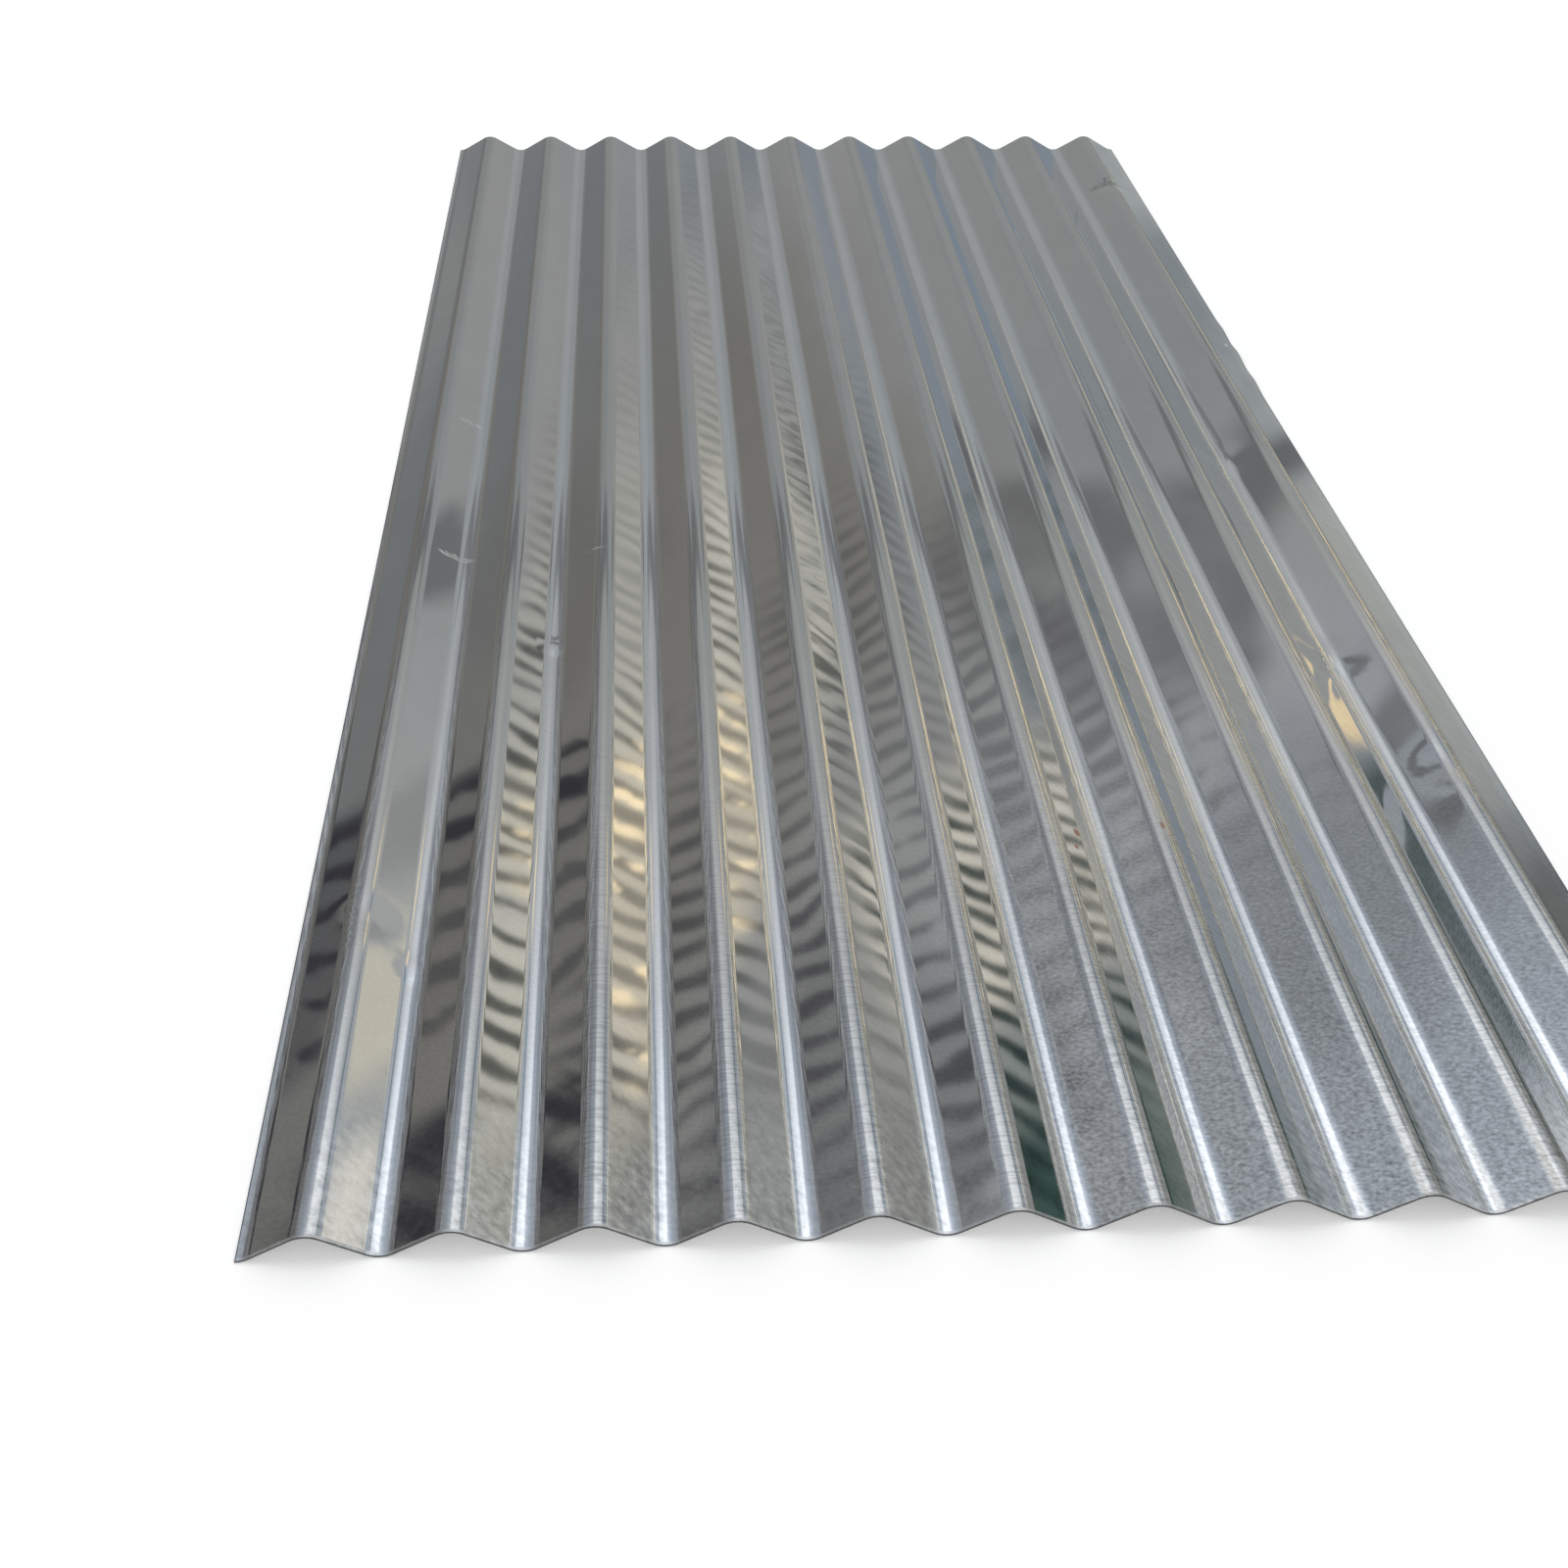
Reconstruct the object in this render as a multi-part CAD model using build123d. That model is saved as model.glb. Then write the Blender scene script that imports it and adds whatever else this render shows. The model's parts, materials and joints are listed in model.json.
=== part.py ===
from build123d import *
import math
import os

# A corrugated roofing sheet: one piece of thin galvanised steel, rolled into even waves.
# It lies flat with its waves along Y, its valleys on Z = 0 and its middle over the origin.

# Driving dimensions, in millimetres. The wave's are those of the steel's middle plane.
sheet_length = 1800.0
steel_thickness = 0.8
wave_pitch = 76.2
wave_depth = 17.0
bend_radius = 15.5
wave_count = 11

# Every crest and valley is an arc of the bend radius. The straight flank from one to the next
# is the crossing tangent of their two circles, which fixes how far it leans and how long it is.
half_pitch = wave_pitch / 2
centre_rise = 2 * bend_radius - wave_depth
centre_distance = math.hypot(half_pitch, centre_rise)
flank_lean = math.asin(2 * bend_radius / centre_distance) - math.atan2(centre_rise, half_pitch)
flank_angle = math.degrees(flank_lean)
flank_length = math.sqrt(centre_distance**2 - (2 * bend_radius) ** 2)
sheet_width = wave_count * wave_pitch


def steel_skin(lift):
    """One skin of the steel, lifted off its middle plane: its edges in order, left to right."""
    valley_radius = bend_radius - lift
    crest_radius = bend_radius + lift
    left_edge = (-sheet_width / 2, steel_thickness / 2 + lift)
    skin = [JernArc(left_edge, (1, 0), valley_radius, flank_angle)]
    for wave in range(wave_count):
        rising_flank = PolarLine(skin[-1] @ 1, flank_length, flank_angle)
        crest = JernArc(rising_flank @ 1, rising_flank % 1, crest_radius, -2 * flank_angle)
        falling_flank = PolarLine(crest @ 1, flank_length, -flank_angle)
        is_last = wave == wave_count - 1
        valley_turn = flank_angle if is_last else 2 * flank_angle
        valley = JernArc(falling_flank @ 1, falling_flank % 1, valley_radius, valley_turn)
        skin += [rising_flank, crest, falling_flank, valley]
    return skin


def corrugated_sheet():
    """The waved section, closed by its two slit side edges and drawn out along the sheet."""
    upper_skin = steel_skin(steel_thickness / 2)
    lower_skin = steel_skin(-steel_thickness / 2)
    left_slit = Line(lower_skin[0] @ 0, upper_skin[0] @ 0)
    right_slit = Line(lower_skin[-1] @ 1, upper_skin[-1] @ 1)
    section = make_face(upper_skin + [right_slit] + lower_skin + [left_slit])
    return extrude(Plane.XZ * section, amount=sheet_length / 2, both=True)


os.makedirs("parts", exist_ok=True)
export_step(corrugated_sheet(), "parts/corrugated_sheet.step")
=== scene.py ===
import json
import math

import bmesh
import bpy
from mathutils import Euler, Matrix


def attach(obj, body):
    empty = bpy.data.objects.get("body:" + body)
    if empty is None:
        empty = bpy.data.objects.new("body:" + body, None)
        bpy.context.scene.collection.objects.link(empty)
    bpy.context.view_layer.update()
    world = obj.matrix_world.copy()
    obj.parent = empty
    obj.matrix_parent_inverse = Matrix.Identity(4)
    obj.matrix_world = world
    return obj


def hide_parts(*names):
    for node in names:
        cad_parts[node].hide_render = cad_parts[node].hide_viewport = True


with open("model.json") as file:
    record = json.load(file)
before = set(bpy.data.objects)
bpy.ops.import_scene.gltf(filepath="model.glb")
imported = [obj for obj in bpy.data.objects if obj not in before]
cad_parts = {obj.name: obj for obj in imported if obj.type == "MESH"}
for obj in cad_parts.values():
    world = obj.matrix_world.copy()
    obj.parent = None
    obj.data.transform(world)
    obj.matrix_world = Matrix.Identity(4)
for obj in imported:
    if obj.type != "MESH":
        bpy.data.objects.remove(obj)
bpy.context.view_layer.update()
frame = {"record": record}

# The corrugated sheet
# One strip of thin steel, run between rollers that bend it into even waves and then sheared square.
# Every crest and valley is a true arc, and the flank between them is flat.
sheet_width, sheet_length, sheet_height = frame["record"]["size"]["bbox_m"]
steel_thickness = 0.0008
bend_radius = 0.0155
wave_count = 11
wave_pitch = sheet_width / wave_count
wave_depth = sheet_height - steel_thickness
centre_rise = 2 * bend_radius - wave_depth
centre_distance = math.hypot(wave_pitch / 2, centre_rise)
flank_lean = math.asin(2 * bend_radius / centre_distance) - math.atan2(centre_rise, wave_pitch / 2)
flank_length = math.sqrt(centre_distance**2 - (2 * bend_radius) ** 2)
left_edge = -sheet_width / 2
right_edge = sheet_width / 2
near_end = -sheet_length / 2
far_end = sheet_length / 2
bend_steps = 3
flank_shares = (0.05, 0.3, 0.3, 0.3, 0.05)
row_count = 196
row_length = sheet_length / row_count
crease_angle = math.radians(40)

# The strip starts as its slit left edge, one row long, at the bottom of the first valley
bpy.ops.object.select_all(action="DESELECT")
bpy.ops.mesh.primitive_plane_add(
    size=row_length,
    location=(left_edge + row_length / 2, near_end + row_length / 2, steel_thickness / 2),
)
sheet = bpy.context.object
sheet.name = "galvanised_sheet"
bpy.ops.object.transform_apply(location=True, rotation=True, scale=True)
bpy.ops.object.mode_set(mode="EDIT")
bpy.ops.mesh.select_mode(type="VERT")


def select_past(place_x, side):
    """Selects the steel past a place, to its right where the side is 1 and to its left where it is -1."""
    bpy.ops.mesh.select_all(action="DESELECT")
    steel = bmesh.from_edit_mesh(sheet.data)
    for vertex in steel.verts:
        vertex.select = vertex.co.x * side > place_x * side
    steel.select_flush_mode()


select_past(left_edge + row_length / 2, 1)
bpy.ops.mesh.delete(type="VERT")
bpy.ops.mesh.select_all(action="SELECT")


def roll_bend(centre_x, centre_z, turn, steps):
    """Carries the strip's last edge round a bend: a positive turn is up out of a valley."""
    bpy.ops.mesh.spin(steps=steps, angle=turn, center=(centre_x, 0, centre_z), axis=(0, 1, 0))


def roll_flank(rise):
    """Carries the strip's last edge along a straight flank, up or down."""
    for share in flank_shares:
        run = share * flank_length
        step = (run * math.cos(flank_lean), 0, rise * run * math.sin(flank_lean))
        bpy.ops.mesh.extrude_region_move(TRANSFORM_OT_translate={"value": step})


valley_centre_z = steel_thickness / 2 + bend_radius
crest_centre_z = steel_thickness / 2 + wave_depth - bend_radius
roll_bend(left_edge, valley_centre_z, flank_lean, bend_steps)
for wave in range(wave_count):
    crest_x = left_edge + (wave + 0.5) * wave_pitch
    valley_x = left_edge + (wave + 1) * wave_pitch
    halves = 1 if wave == wave_count - 1 else 2
    roll_flank(1)
    roll_bend(crest_x, crest_centre_z, -2 * flank_lean, 2 * bend_steps)
    roll_flank(-1)
    roll_bend(valley_x, valley_centre_z, halves * flank_lean, halves * bend_steps)
bpy.ops.object.mode_set(mode="OBJECT")

# The strip is repeated row by row along the sheet, and its faces are turned up
rows = sheet.modifiers.new("rows", "ARRAY")
rows.count = row_count
rows.use_relative_offset = False
rows.use_constant_offset = True
rows.constant_offset_displace = (0, row_length, 0)
rows.use_merge_vertices = True
rows.merge_threshold = row_length / 100
bpy.ops.object.modifier_apply(modifier=rows.name)
bpy.ops.object.mode_set(mode="EDIT")
bpy.ops.mesh.select_all(action="SELECT")
bpy.ops.mesh.normals_make_consistent(inside=False)
rolled = bmesh.from_edit_mesh(sheet.data)
rolled.faces.ensure_lookup_table()
if rolled.faces[0].normal.z < 0:
    bpy.ops.mesh.flip_normals()
bpy.ops.object.mode_set(mode="OBJECT")

# The flanks are a little uneven, as thin sheet is: they swell and sink by less than the steel's thickness
flank_middle = (wave_depth + steel_thickness) / 2
flanks = sheet.vertex_groups.new(name="flanks")
for vertex in sheet.data.vertices:
    off_middle = abs(vertex.co.z - flank_middle) / (wave_depth / 2)
    flanks.add([vertex.index], max(0, 1 - off_middle**2), "REPLACE")


def make_uneven(name, spread, depth):
    """Swells and sinks the flanks, with the given spread from one swelling to the next."""
    cloud = bpy.data.textures.new(name, "CLOUDS")
    cloud.noise_scale = spread
    swelling = sheet.modifiers.new(name, "DISPLACE")
    swelling.texture = cloud
    swelling.texture_coords = "LOCAL"
    swelling.vertex_group = flanks.name
    swelling.strength = depth
    bpy.ops.object.modifier_apply(modifier=swelling.name)


make_uneven("long_swelling", spread=0.16, depth=0.00022)
make_uneven("short_swelling", spread=0.06, depth=0.00003)


def push(place_x, place_y, reach, up, aside=0):
    """Pushes the steel at one place, and what is within reach of it less and less."""

    def distance(vertex):
        return math.hypot(vertex.co.x - place_x, vertex.co.y - place_y)

    bpy.ops.object.mode_set(mode="EDIT")
    bpy.ops.mesh.select_all(action="DESELECT")
    steel = bmesh.from_edit_mesh(sheet.data)
    nearest = min(steel.verts, key=distance)
    nearest.select = True
    steel.select_flush_mode()
    bpy.ops.transform.translate(
        value=(aside, 0, up),
        use_proportional_edit=True,
        proportional_edit_falloff="SMOOTH",
        proportional_size=reach,
    )
    bpy.ops.object.mode_set(mode="OBJECT")


# The right edge is buckled up in places, and handling has left a few small dents
buckle_reach = 0.034
wide_reach = 0.036
push(right_edge, 0.310, reach=buckle_reach, up=0.0018, aside=-0.0002)
push(right_edge, 0.245, reach=buckle_reach, up=0.0030, aside=-0.0004)
push(right_edge, 0.185, reach=buckle_reach, up=0.0024, aside=-0.0004)
push(0.384, 0.727, reach=0.028, up=-0.0024)
push(-0.2667, -0.297, reach=0.010, up=0.0010)
push(-0.372, -0.635, reach=0.026, up=-0.0007)
push(-0.347, -0.667, reach=0.010, up=0.0007)
push(-0.055, -0.210, reach=0.014, up=-0.0005)
push(0.343, 0.010, reach=wide_reach, up=0.0007, aside=0.0003)
push(0.343, -0.330, reach=wide_reach, up=0.0009, aside=-0.0003)
push(0.381, -0.500, reach=wide_reach, up=-0.0009, aside=0.0004)

# The steel gets its thickness, half to each side, and its slit edges are squared up again
gauge = sheet.modifiers.new("gauge", "SOLIDIFY")
gauge.thickness = steel_thickness
gauge.offset = 0
gauge.use_even_offset = True
bpy.ops.object.modifier_apply(modifier=gauge.name)
bpy.ops.object.mode_set(mode="EDIT")
bpy.ops.mesh.select_mode(type="VERT")
for side, edge in ((-1, left_edge), (1, right_edge)):
    select_past(edge, side)
    bpy.ops.transform.resize(value=(0, 1, 1), center_override=(edge, 0, 0))
bpy.ops.object.mode_set(mode="OBJECT")
bpy.ops.object.shade_smooth_by_angle(angle=crease_angle)


class Shade:
    """A shader socket on which sums can be written: each operator adds the Math node for it."""

    def __init__(self, tree, socket=None):
        self.tree = tree
        self.socket = socket

    def node(self, kind, inputs=None, output=0, stops=None, **settings):
        """Adds a node of any kind, with its settings, then the values or links of its sockets."""
        node = self.tree.nodes.new(kind)
        for name, value in settings.items():
            setattr(node, name, value)
        if stops:
            while len(node.color_ramp.elements) < len(stops):
                node.color_ramp.elements.new(1)
            for element, (place, colour) in zip(node.color_ramp.elements, stops):
                element.position = place
                element.color = (*colour, 1)
        for name, value in (inputs or {}).items():
            socket = node.inputs[name]
            if isinstance(value, Shade):
                self.tree.links.new(value.socket, socket)
            elif socket.type == "RGBA":
                socket.default_value = (*value, 1)
            else:
                socket.default_value = value
        return Shade(self.tree, node.outputs[output] if node.outputs else None)

    def math(self, operation, *others):
        """Puts this value, and any others after it, through one Math node."""
        return self.node("ShaderNodeMath", dict(enumerate((self, *others))), operation=operation)

    def __add__(self, other):
        return self.math("ADD", other)

    __radd__ = __add__

    def __sub__(self, other):
        return self.math("SUBTRACT", other)

    def __rsub__(self, other):
        return self.node("ShaderNodeMath", {0: other, 1: self}, operation="SUBTRACT")

    def __mul__(self, other):
        return self.math("MULTIPLY", other)

    __rmul__ = __mul__

    def __truediv__(self, other):
        return self.math("DIVIDE", other)

    def axis(self, name):
        """One of the three numbers of a place."""
        return self.node("ShaderNodeSeparateXYZ", {"Vector": self}, output=name)

    def rise(self, start, end):
        """0 before the start and 1 past the end, and the other way round where the end comes first."""
        limits = {"Value": self, "From Min": start, "From Max": end}
        return self.node("ShaderNodeMapRange", limits, interpolation_type="SMOOTHSTEP")

    def band(self, start, full, fading, end):
        """1 from where it is full to where it starts fading, and 0 before the start and past the end."""
        return self.rise(start, full) * self.rise(end, fading)

    def mix(self, first, second):
        """Goes from the first colour to the second by this value."""
        return self.node("ShaderNodeMix", {0: self, 6: first, 7: second}, output=2, data_type="RGBA")


def bare_material(name):
    """A new material with no nodes in it yet."""
    material = bpy.data.materials.new(name)
    material.use_nodes = True
    material.node_tree.nodes.clear()
    return material


# The zinc is bright and nearly a mirror. Its colour is painted bluer in the valleys and on the far right
# flanks, as painted reflection
bright_tone = (0.755, 0.758, 0.750)
valley_reflection_tone = (0.755, 0.775, 0.795)
blue_reflection_tone = (0.700, 0.755, 0.800)
scuff_tone = (0.95, 0.95, 0.95)
dirt_tone = (0.30, 0.16, 0.10)
plain_shine = 0.97
plain_dullness = 0.030
bump_height = 0.001
grain_roughness = 0.55
zinc = bare_material("bright_zinc")
coat = Shade(zinc.node_tree)
coat_place = coat.node("ShaderNodeTexCoord", output="Object")
across = coat_place.axis("X")
along = coat_place.axis("Y")
wave_turn = across / wave_pitch
from_crest = wave_turn.math("PINGPONG", 0.5)
right_facing = wave_turn.math("FRACT").rise(0.55, 0.45)
crest = from_crest.rise(0.13, 0.05)
valley = from_crest.rise(0.37, 0.45)
flank = 1 - crest - valley


def grain(scale, detail, turn=0):
    """Noise in the zinc, with its own scale across, along and up the sheet, in grains to the metre."""
    turning = {"Vector": coat_place, "Angle": turn}
    turned = coat.node("ShaderNodeVectorRotate", turning, rotation_type="Z_AXIS")
    scaled = coat.node("ShaderNodeVectorMath", {0: turned, 1: scale}, operation="MULTIPLY")
    fineness = {"Vector": scaled, "Scale": 1.0, "Detail": detail, "Roughness": grain_roughness}
    return coat.node("ShaderNodeTexNoise", fineness)


def spot(spot_x, spot_y, half_width, half_length):
    """1 at a place on the sheet, falling to 0 at the half width and half length from it."""
    aside = (across - spot_x) / half_width
    ahead = (along - spot_y) / half_length
    return (aside * aside + ahead * ahead).rise(1, 0.2)


spangle = grain((300, 500, 300), detail=2, turn=0.6)
flowers = grain((150, 230, 150), detail=3, turn=0.9)
clouds = grain((28, 16, 28), detail=2)
ticks = grain((60, 480, 60), detail=1)
ripples = grain((26, 34, 26), detail=1, turn=0.3)
brushing = grain((60, 900, 60), detail=1, turn=0.7)

# Its near end is worn, most of all on the right, and blooms with larger flowers of zinc
near_end_wear = along.rise(-0.35, -0.88)
worn_right = near_end_wear * (across.rise(0.0, 0.04) * 0.85 + 0.15) * (1 - 0.8 * right_facing * flank)
bloom = along.rise(-0.76, -0.89) * (0.35 + 0.65 * right_facing)
bloom = bloom * (1 - 0.75 * across.band(-0.03, 0.0, 0.11, 0.14))

# The rollers left fine ticks across its bends and ripples on its flanks
left_half = across.rise(0.12, -0.05)
roughest = across.band(-0.10, -0.07, -0.05, -0.02) * right_facing
ripple_side = left_half * (0.03 + 0.05 * right_facing) + 0.02 + roughest * 0.3
ticked = crest * (across.rise(-0.29, -0.24) * 0.8 + 0.2)
relief = ripples * ripple_side * 0.10 * flank
relief = relief + ticks * (ticked * (0.003 + near_end_wear * 0.006) + valley * 0.001 + 0.0001)
relief = relief + flowers * (bloom * 0.012 + worn_right * 0.002)
bumped = coat.node("ShaderNodeBump", {"Height": relief, "Strength": 1.0, "Distance": bump_height})

# Handling left a few scuffs on it, and specks of brown dirt. Its cut edges are dark bare steel
scuffs = spot(-0.357, 0.098, half_width=0.014, half_length=0.005)
scuffs = scuffs + spot(-0.352, -0.155, half_width=0.020, half_length=0.005)
scuffs = scuffs + spot(-0.237, -0.163, half_width=0.012, half_length=0.004)
scuffs = scuffs + spot(-0.059, -0.211, half_width=0.012, half_length=0.006)
scuffed = scuffs * brushing.rise(0.48, 0.60)
# The zinc colour is darker over the dent near the far right
dented = spot(0.376, 0.727, half_width=0.024, half_length=0.010)
specks = spot(0.097, -0.557, half_width=0.003, half_length=0.005)
specks = specks + spot(0.093, -0.575, half_width=0.002, half_length=0.003)
specks = specks + spot(0.154, -0.563, half_width=0.0015, half_length=0.006)
to_end = far_end - along.math("ABSOLUTE")
to_side = right_edge - across.math("ABSOLUTE")
lip = to_end.rise(0.0030, 0.0020)
sheared = to_end.rise(0.0006, 0.0003)
slit = to_side.rise(0.0008, 0.0004)
bare = sheared.math("MAXIMUM", slit)

# How much light it gives back, in what colour, and how dull it is
grain_depth = 0.12 + worn_right * (0.75 + 0.75 * flank)
brushed_side = right_facing * flank * across.rise(0.0, 0.15) * along.rise(0.25, -0.10)
shine = plain_shine + (spangle - 0.5) * grain_depth
shine = shine + (clouds - 0.5) * 0.10 + (flowers - 0.5) * bloom * 1.2
shine = shine + (brushing - 0.5) * (brushed_side * 0.45 + 0.06)
# Painted reflection and shade: the valleys are lighter and the crests darker; towards the worn near end
# the crests are darker still
shine = shine * (1 - crest * (0.08 + near_end_wear * 0.06) + valley * 0.12)
shine = shine * (1 - ticked * near_end_wear * ticks.rise(0.48, 0.62) * 0.20)
shine = shine * (1 - bare * 0.82) * (1 - dented * spangle.rise(0.3, 0.6) * 0.4)
# Painted reflection: the valleys and the far right flanks are tinted bluer
blue_reflection = right_facing * flank * across.rise(0.05, 0.15) * along.rise(-0.2, 0.2)
tint = valley.mix(bright_tone, valley_reflection_tone)
tint = blue_reflection.mix(tint, blue_reflection_tone)
tint = scuffed.mix(tint, scuff_tone)
tint = specks.mix(tint, dirt_tone)
zinc_colour = coat.node("ShaderNodeVectorMath", {0: tint, "Scale": shine}, operation="SCALE")
dullness = plain_dullness + clouds.rise(0.45, 0.8) * 0.012
dullness = dullness + worn_right * spangle * 0.07 + bloom * flowers * 0.16
dullness = dullness + scuffed * 0.35 + specks * 0.5 + lip * 0.22 + bare * 0.2
surface = coat.node("ShaderNodeBsdfPrincipled", {
    "Base Color": zinc_colour,
    "Metallic": 1 - specks * 0.9,
    "Roughness": dullness,
    "Normal": bumped,
})
coat.node("ShaderNodeOutputMaterial", {"Surface": surface})
sheet.data.materials.append(zinc)

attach(sheet, "root")
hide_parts("corrugated_sheet")

# The floor
# A plain pale studio floor, big enough to fill every view.
# It is painted, and lit a little from within, so that it shows white and still keeps the sheet's shadow.
floor_size = 13.6
floor_gap = 0.0002
floor_tone = (0.85, 0.85, 0.85)
near_glow = 0.17
far_glow = 0.32
bpy.ops.object.select_all(action="DESELECT")
bpy.ops.mesh.primitive_plane_add(size=floor_size, location=(0, 0, -floor_gap))
floor = bpy.context.object
floor.name = "studio_floor"
bpy.ops.object.transform_apply(location=True, rotation=True, scale=True)
white_floor = bare_material("white_floor")
white_floor.cycles.emission_sampling = "NONE"
floor_shade = Shade(white_floor.node_tree)
floor_place = floor_shade.node("ShaderNodeTexCoord", output="Object")
from_middle = floor_shade.node(
    "ShaderNodeVectorMath",
    {0: floor_place},
    output="Value",
    operation="LENGTH",
)
seen = floor_shade.node("ShaderNodeLightPath", output="Is Camera Ray")
mirrored = floor_shade.node("ShaderNodeLightPath", output="Is Glossy Ray")
through = floor_shade.node("ShaderNodeLightPath", output="Is Transmission Ray")
glow_level = near_glow + from_middle.rise(1.0, 5.0) * (far_glow - near_glow)
glow_level = (seen + mirrored + through) * glow_level
floor_glow = floor_shade.node("ShaderNodeEmission", {"Color": glow_level.mix((0, 0, 0), (1, 1, 1))})
floor_paint = floor_shade.node("ShaderNodeBsdfDiffuse", {"Color": floor_tone})
both = floor_shade.node("ShaderNodeAddShader", {0: floor_paint, 1: floor_glow})
floor_shade.node("ShaderNodeOutputMaterial", {"Surface": both})
floor.data.materials.append(white_floor)

# The studio wall
# A ring of tall painted flats stands well back, out of the camera's sight, for the bright zinc to mirror.
# They are grey, slatted to the right, with dark openings to the left, and pale towards their tops.
wall_radius = 7
wall_height = 9.5
wall_sides = 180
bpy.ops.object.select_all(action="DESELECT")
bpy.ops.mesh.primitive_cylinder_add(
    vertices=wall_sides,
    radius=wall_radius,
    depth=wall_height,
    end_fill_type="NOTHING",
    location=(0, 0, wall_height / 2),
)
wall = bpy.context.object
wall.name = "studio_wall"
bpy.ops.object.transform_apply(location=True, rotation=True, scale=True)


def show_only_mirrored(flat):
    """Keeps a flat out of the camera's sight, out of the soft light and out of the shadows."""
    flat.visible_camera = False
    flat.visible_diffuse = False
    flat.visible_shadow = False


show_only_mirrored(wall)
painted_flats = bare_material("painted_flats")
painted_flats.cycles.emission_sampling = "NONE"
flats = Shade(painted_flats.node_tree)
wall_place = flats.node("ShaderNodeTexCoord", output="Object")
wall_x = wall_place.axis("X")
wall_y = wall_place.axis("Y")

# A place on the wall is told by its height and by how many degrees it is turned from straight ahead
height = wall_place.axis("Z")
turn = (wall_x / wall_y).math("ARCTANGENT") * math.degrees(1)


def mottle(turn_scale, height_scale):
    """Noise on the flats, with its own scale to the degree round them and to the metre up them."""
    spread = flats.node("ShaderNodeCombineXYZ", {"X": turn * turn_scale, "Y": height * height_scale})
    return flats.node("ShaderNodeTexNoise", {"Vector": spread, "Scale": 1.0, "Detail": 2.0})


def paint(*stops):
    """Colours by height up the wall, each with its height in metres."""
    top = 10
    scaled = [(metres / top, (red, green, blue)) for metres, red, green, blue in stops]
    return flats.node("ShaderNodeValToRGB", {"Fac": height / top}, stops=scaled)


def patch(turn_band, height_band):
    """A soft-edged patch of the wall: each band is where it starts, is full, starts fading and ends."""
    return turn.band(*turn_band) * height.band(*height_band)


def daub(under, mask, strength, colour):
    """Lays a colour on the paint under it, by its strength and where the mask is."""
    return (mask * strength).mix(under, colour)


patches = mottle(turn_scale=0.16, height_scale=0.9)
streaks = mottle(turn_scale=0.9, height_scale=0.5)
breaks = mottle(turn_scale=0.45, height_scale=1.7)

# The middle, left and right flats each darken and lighten upwards in their own greys
middle_paint = paint(
    (0.4, 0.24, 0.275, 0.325), (1.0, 0.30, 0.32, 0.34), (1.5, 0.345, 0.35, 0.35),
    (2.1, 0.345, 0.35, 0.355), (3.3, 0.335, 0.355, 0.365), (4.7, 0.43, 0.44, 0.44),
    (5.8, 0.56, 0.57, 0.58), (6.9, 0.68, 0.70, 0.73), (8.0, 0.92, 0.96, 1.02),
    (9.3, 1.25, 1.29, 1.35),
)
left_paint = paint(
    (0.4, 0.25, 0.255, 0.26), (0.9, 0.195, 0.21, 0.225), (1.7, 0.205, 0.20, 0.188),
    (2.7, 0.24, 0.235, 0.22), (3.3, 0.33, 0.335, 0.335), (4.2, 0.40, 0.415, 0.43),
    (4.9, 0.42, 0.44, 0.47), (5.7, 0.35, 0.375, 0.41), (7.2, 0.38, 0.42, 0.48),
    (8.5, 0.52, 0.57, 0.64), (9.3, 0.80, 0.86, 0.95),
)
right_paint = paint(
    (0.3, 0.24, 0.28, 0.325), (0.8, 0.265, 0.295, 0.33), (1.2, 0.335, 0.34, 0.34),
    (2.0, 0.38, 0.38, 0.365), (3.0, 0.385, 0.40, 0.405), (4.2, 0.45, 0.46, 0.46),
    (5.0, 0.41, 0.45, 0.50), (6.4, 0.46, 0.51, 0.58), (7.4, 0.90, 0.94, 1.00),
    (8.3, 1.20, 1.23, 1.28), (9.3, 1.35, 1.38, 1.42),
)

# The corner where the left flats begin leans to the left low down, and steps back further up
corner_shift = height.math("MINIMUM", 2.2) * 4 - height.rise(3.4, 5.4) * 9.6
painted = (turn + corner_shift).rise(-4, -13).mix(middle_paint, left_paint)
painted = turn.rise(16, 28).mix(painted, right_paint)

# The left flats have soft shades on them, and a light strip at their foot
left_shade = patch((-20, -13, -7, 5), (1.1, 1.9, 6.8, 7.6))
painted = daub(painted, left_shade, 0.13, (0.05, 0.05, 0.05))
left_dark = turn.rise(-34, -40) * height.band(3.0, 3.4, 4.5, 4.75)
painted = daub(painted, left_dark, 0.45, (0.10, 0.10, 0.10))
left_light = turn.rise(-19, -23) * height.rise(0.9, 0.72)
painted = daub(painted, left_light, 0.5, (0.31, 0.31, 0.305))
left_foot = patch((-36, -33, -28, -24), (1.1, 1.3, 1.8, 2.0))
painted = daub(painted, left_foot, 0.13, (0.05, 0.05, 0.05))
left_band = patch((-35, -31, -20.5, -17.5), (4.4, 5.0, 6.3, 6.9))
painted = daub(painted, left_band, 0.27, (0.08, 0.085, 0.09))

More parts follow.
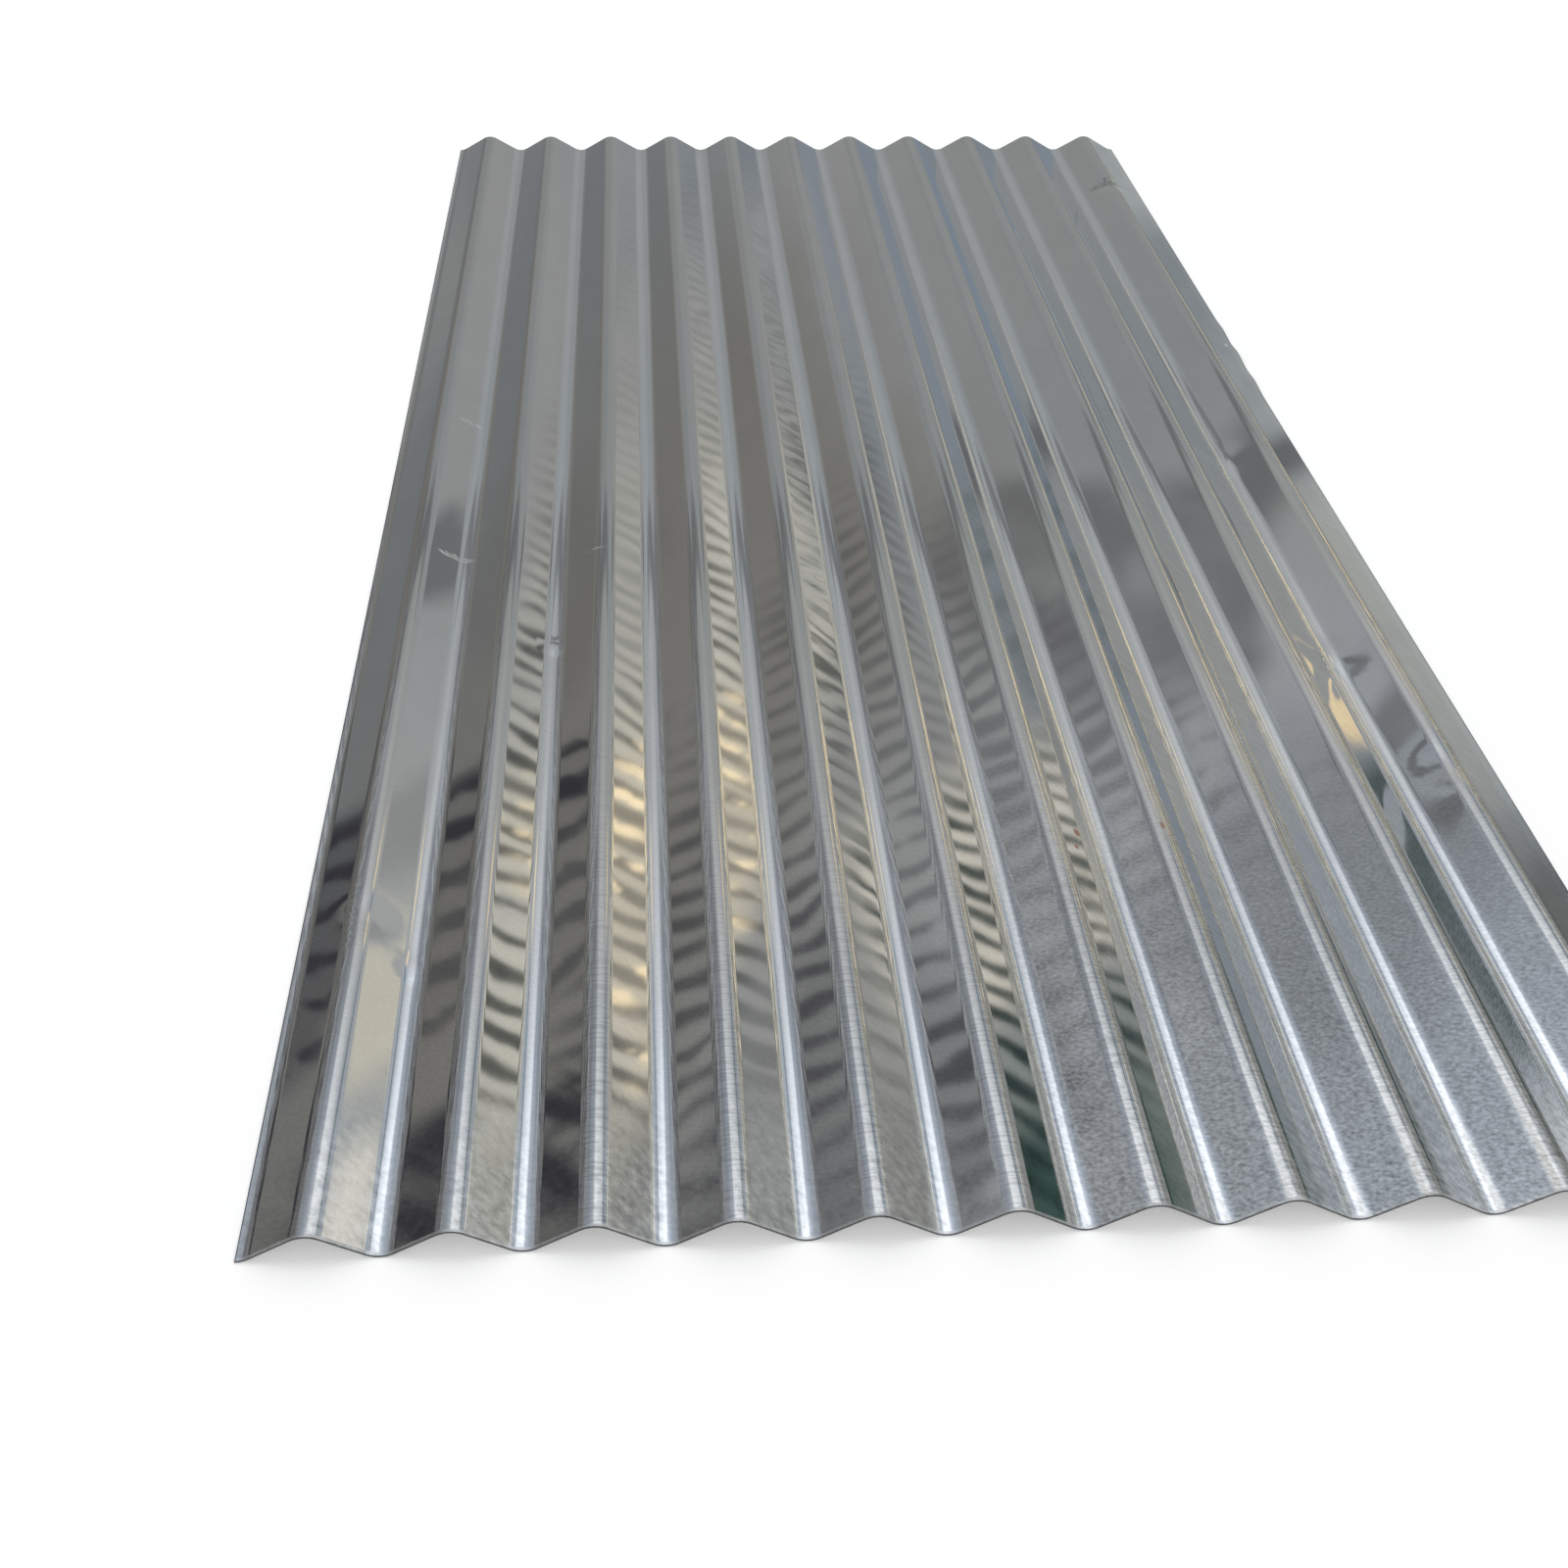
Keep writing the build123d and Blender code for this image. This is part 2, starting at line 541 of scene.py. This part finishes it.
# The slats are set to run square across the flanks that mirror them, whichever way those lean
slat_spacing = 0.040
slat_waves = 2 * math.pi / slat_spacing
slat_edge = (-0.1, 0.25)
eye_distance = 1.60
eye_over_right_flanks = 0.73
eye_over_left_flanks = 0.55
lean_sine = math.sin(flank_lean)
lean_cosine = math.cos(flank_lean)
right_fan = (wall_y + eye_distance) / (wall_x * lean_sine + height * lean_cosine + eye_over_right_flanks)
left_fan = (wall_y + eye_distance) / (height * lean_cosine - wall_x * lean_sine + eye_over_left_flanks)
right_wave = (right_fan + patches * 0.07) * slat_waves
left_wave = (left_fan + patches * 0.10) * slat_waves
sparse = patch((24, 27, 33, 36), (1.15, 1.3, 1.6, 1.8))
right_slats = right_wave.math("SINE") + patches * 2.4 + breaks * 2.4 - 2.5 - sparse * 0.3
right_slats = right_slats.rise(*slat_edge)
left_slats = (left_wave.math("SINE") + patches * 3 + breaks * 3 - 3.1).rise(*slat_edge)

# On the right the paint between the slats is pale, and golden with bright glints further round
under_eave = (turn * 0.12 - 0.3 - height).rise(-0.1, 0.2)
over_foot = (height - turn * 0.025 - 0.20).rise(-0.03, 0.18)
slatted = turn.rise(62, 57) * over_foot * height.rise(4.4, 3.8) * under_eave
warm_lean = turn - height * 7
past_warm = warm_lean.rise(22.5, 25.5)
pale_floor = (turn - 31).math("MAXIMUM", 0) * 0.14 + 1.08
high_calm = (height - turn * 0.07 - 0.02).rise(-0.06, 0.1) * turn.rise(31, 27)
pale_side = slatted * turn.rise(16, 27) * (height - pale_floor).rise(-0.1, 0.5)
pale_side = pale_side * (1 - high_calm * 0.5) * (1 - past_warm * 0.75)
painted = daub(painted, pale_side, patches.rise(0.22, 0.42), (0.68, 0.665, 0.59))
low_pale = slatted * turn.band(14.5, 18, 23, 27) * height.rise(1.45, 1.25)
painted = daub(painted, low_pale, 0.28, (0.68, 0.67, 0.63))
gold_side = turn.rise(29, 33) * warm_lean.rise(24, 21.5) * height.band(1.6, 2.0, 2.9, 3.3)
painted = daub(painted, gold_side, 0.7, (0.74, 0.66, 0.52))
third_calm = (height - turn * 0.075 - 0.1).math("ABSOLUTE").rise(0.24, 0.12) * turn.rise(31, 27)
slat_depth = (turn.rise(12, 15) * 0.48 + turn.rise(20, 26) * 0.44) * (1 - gold_side * 0.35)
slat_depth = slat_depth * (1 - third_calm * 0.6) * (1 - past_warm * 0.55)
painted = daub(painted, slatted * right_slats, slat_depth, (0.035, 0.04, 0.04))
glints = ((right_wave * 0.8 + 2).math("SINE") + streaks * 5 - 2.9).rise(0.2, 0.7)
painted = daub(painted, gold_side, glints, (1.40, 1.15, 0.76))

# Furthest to the right the slats go over from light bars to dark green
green_side = patch((37, 40, 57, 60), (0.7, 1.0, 1.75, 2.0))
painted = daub(painted, green_side, turn.rise(48, 46), (0.78, 0.74, 0.66))
painted = daub(painted, green_side, turn.rise(46, 49), (0.32, 0.345, 0.335))
green_end = turn.rise(49, 53)
green_foot = 0.35 + 0.65 * height.rise(1.1, 1.4)
painted = daub(painted, green_side * green_end, green_foot, (0.085, 0.145, 0.13))
green_slats = (right_wave.math("SINE") + breaks * 3 + green_end * 0.5 - 1.4).rise(*slat_edge)
green_depth = 1 - green_end * (1 - green_foot)
painted = daub(painted, green_side * green_slats, green_depth, (0.012, 0.032, 0.030))

# A shade lies along their foot, with a slanting gold and teal streak and one small dark window over it
foot_shade = patch((27, 31, 37, 40), (0.3, 0.42, 0.82, 0.95)) * streaks.rise(0.2, 0.7)
painted = daub(painted, foot_shade, 0.5, (0.08, 0.10, 0.09))
up_streak = height - turn * 0.2
gold_streak = turn.band(21.0, 22.5, 23.9, 25.4) * up_streak.band(-0.05, 0.15, 0.3, 0.5)
painted = gold_streak.mix(painted, (1.10, 0.88, 0.52))
teal_streak = turn.band(26.5, 28, 33, 36) * up_streak.band(-0.15, 0.0, 0.3, 0.45)
painted = daub(painted, teal_streak, 0.8, (0.15, 0.21, 0.22))
window = patch((18.5, 19.5, 21.5, 22.5), (2.35, 2.5, 2.8, 2.95))
painted = daub(painted, window, 0.8, (0.15, 0.15, 0.16))

# What the first wave mirrors is dim, then peach, then cream
first_wave = (height - turn * 0.095 - 0.72).math("ABSOLUTE").rise(0.26, 0.15)
dim_place = first_wave * turn.band(27, 28.5, 30, 31.5)
painted = daub(painted, dim_place, 0.25, (0.10, 0.10, 0.10))
peach_place = first_wave * turn.band(31, 33.5, 36.5, 39)
painted = peach_place.mix(painted, (0.66, 0.63, 0.545))
cream_place = first_wave * turn.band(39, 41.5, 46, 50)
painted = cream_place.mix(painted, (1.10, 1.04, 0.92))

# A low slanting strip for the last waves is gold and then dark
low_strip = (height - turn * 0.197 + 0.16).band(-0.40, -0.28, -0.03, 0.04)
gold_strip = low_strip * turn.band(23.6, 24.4, 26.0, 26.8)
painted = gold_strip.mix(painted, (1.20, 0.96, 0.62))
dark_strip = low_strip * turn.band(26.4, 27.6, 35, 38)
painted = daub(painted, dark_strip, 0.9, (0.07, 0.10, 0.095))

# On the left are thin posts, and low down between them dark openings
posted = patch((-56, -52, -24, -19), (2.2, 2.6, 4.0, 6.2))
post_depth = 0.55 + 0.3 * turn.rise(-33, -38)
painted = daub(painted, posted * left_slats, post_depth, (0.05, 0.05, 0.06))
low_dark = height.rise(1.60, 1.45)
open_slats = ((left_wave * 0.55).math("SINE") + streaks * 5 - 2.6).rise(-0.1, 0.3)
open_slats = open_slats.math("MAXIMUM", low_dark * 0.4)
bar_depth = left_fan.rise(1.52, 1.62).math("MAXIMUM", low_dark)
open_bars = left_fan.band(1.30, 1.36, 1.70, 1.76) * (0.15 + 0.85 * open_slats)
open_bars = open_bars * (0.65 + 0.35 * bar_depth)
open_dark = left_fan.band(1.02, 1.06, 1.20, 1.25) * streaks.rise(0.66, 0.50)
open_dark = open_dark * (0.15 + 0.85 * height.rise(1.55, 1.95))
low_left = turn.band(-66, -60, -35, -29) * height.rise(0.8, 1.1) * (height + turn * 0.04).rise(1.0, 0.75)
painted = daub(painted, low_left, open_bars + open_dark, (0.035, 0.035, 0.045))

# A dark beam runs across the middle and broadens past the left corner, with two short bands over it
beam_spread = ((-13.5 - turn).math("MAXIMUM", 0) * 0.17).math("MINIMUM", 0.85)
beam = (height + beam_spread).rise(3.55, 3.85) * (height - beam_spread * 0.55).rise(4.30, 4.0)
beam = beam * turn.band(-26, -22, 7, 14)
short_bands = height.band(5.20, 5.35, 5.50, 5.65) + height.band(5.80, 5.90, 6.05, 6.15)
beam = beam + short_bands * turn.band(-21.5, -20.5, -16, -14)
painted = daub(painted, beam * patches.rise(0.25, 0.55), 0.8, (0.14, 0.14, 0.147))

wall_glow = flats.node("ShaderNodeEmission", {"Color": painted})
flats.node("ShaderNodeOutputMaterial", {"Surface": wall_glow})
wall.data.materials.append(painted_flats)

# The two cards
# Low smeared grey cards stand on the floor, close along the sheet's right edge and past its far end.
# The steel there would else mirror only white floor. The camera doesn't see them.
right_card_gap = 0.008
right_card_height = 0.030
right_card_tone = (0.42, 0.43, 0.42)
far_card_gap = 0.12
far_card_height = 0.019
far_card_tone = (0.25, 0.285, 0.33)
smear_tone = (0.25, 0.27, 0.28)
gap_tone = (0.09, 0.095, 0.10)


def stand_card(name, place, heading, length, card_height, tone):
    """Stands a card on the floor at a place, with its length along the heading."""
    bpy.ops.object.select_all(action="DESELECT")
    bpy.ops.mesh.primitive_plane_add(
        size=1,
        location=(*place, card_height / 2),
        rotation=(math.pi / 2, 0, heading),
    )
    card = bpy.context.object
    card.name = name
    card.scale = (length, card_height, 1)
    bpy.ops.object.transform_apply(location=True, rotation=True, scale=True)
    show_only_mirrored(card)
    grey_card = bare_material("grey_" + name)
    grey_card.cycles.emission_sampling = "NONE"
    card_shade = Shade(grey_card.node_tree)
    card_place = card_shade.node("ShaderNodeTexCoord", output="Object")
    card_along = card_place.axis("Y")
    smears = card_shade.node("ShaderNodeTexNoise", {"Vector": card_place, "Scale": 3.0, "Detail": 3.0})
    gaps = card_along.band(-0.02, 0.04, 0.06, 0.11)
    gaps = gaps + card_along.band(-0.86, -0.78, -0.57, -0.50) * smears.rise(0.35, 0.55)
    card_tone = smears.rise(0.3, 0.7).mix(smear_tone, tone)
    card_tone = (gaps * 0.75).mix(card_tone, gap_tone)
    card_glow = card_shade.node("ShaderNodeEmission", {"Color": card_tone})
    card_shade.node("ShaderNodeOutputMaterial", {"Surface": card_glow})
    card.data.materials.append(grey_card)


stand_card(
    "right_card",
    place=(right_edge + right_card_gap, 0),
    heading=math.pi / 2,
    length=sheet_length + 2 * far_card_gap,
    card_height=right_card_height,
    tone=right_card_tone,
)
stand_card(
    "far_card",
    place=(sheet_width / 4, far_end + far_card_gap),
    heading=0,
    length=sheet_width,
    card_height=far_card_height,
    tone=far_card_tone,
)

# The lamp and the sky
# One broad soft lamp hangs over the sheet, out of the zinc's mirror.
# Plain white sky shows above the flats, and greys towards the top.
lamp_place = (-0.8, 0.4, 5)
lamp_width = 3
lamp_power = 40
low_sky_tone = (1, 1, 1)
high_sky_tone = (0.42, 0.44, 0.47)
lamp_data = bpy.data.lights.new("soft_lamp", "AREA")
lamp_data.shape = "DISK"
lamp_data.size = lamp_width
lamp_data.energy = lamp_power
lamp = bpy.data.objects.new("soft_lamp", lamp_data)
lamp.location = lamp_place
lamp.visible_glossy = False
bpy.context.scene.collection.objects.link(lamp)
world = bpy.data.worlds.new("white_studio")
world.use_nodes = True
world.node_tree.nodes.clear()
bpy.context.scene.world = world
sky = Shade(world.node_tree)
sky_height = sky.node("ShaderNodeTexCoord", output="Generated").axis("Z")
sky_colour = sky_height.rise(0.75, 0.98).mix(low_sky_tone, high_sky_tone)
sky_glow = sky.node("ShaderNodeBackground", {"Color": sky_colour, "Strength": 1.0})
sky.node("ShaderNodeOutputWorld", {"Surface": sky_glow})

# The camera
# It stands a little left of the sheet's middle, past its near end, and looks down along the waves.
camera_place = (-0.19104, -1.60361, 0.82008)
camera_turn = math.radians(4.677)
camera_dip = math.radians(36.063)
camera_roll = math.radians(1.463)
lens_length = 44.84
sensor_width = 36
camera_data = bpy.data.cameras.new("photo_camera")
camera_data.sensor_fit = "HORIZONTAL"
camera_data.sensor_width = sensor_width
camera_data.lens = lens_length
camera = bpy.data.objects.new("photo_camera", camera_data)
bpy.context.scene.collection.objects.link(camera)
looking = Euler((math.pi / 2 - camera_dip, 0, -camera_turn)).to_matrix()
looking = looking @ Matrix.Rotation(camera_roll, 3, "Z")
camera.matrix_world = Matrix.Translation(camera_place) @ looking.to_4x4()
bpy.context.scene.camera = camera
bpy.context.scene.view_settings.view_transform = "Standard"
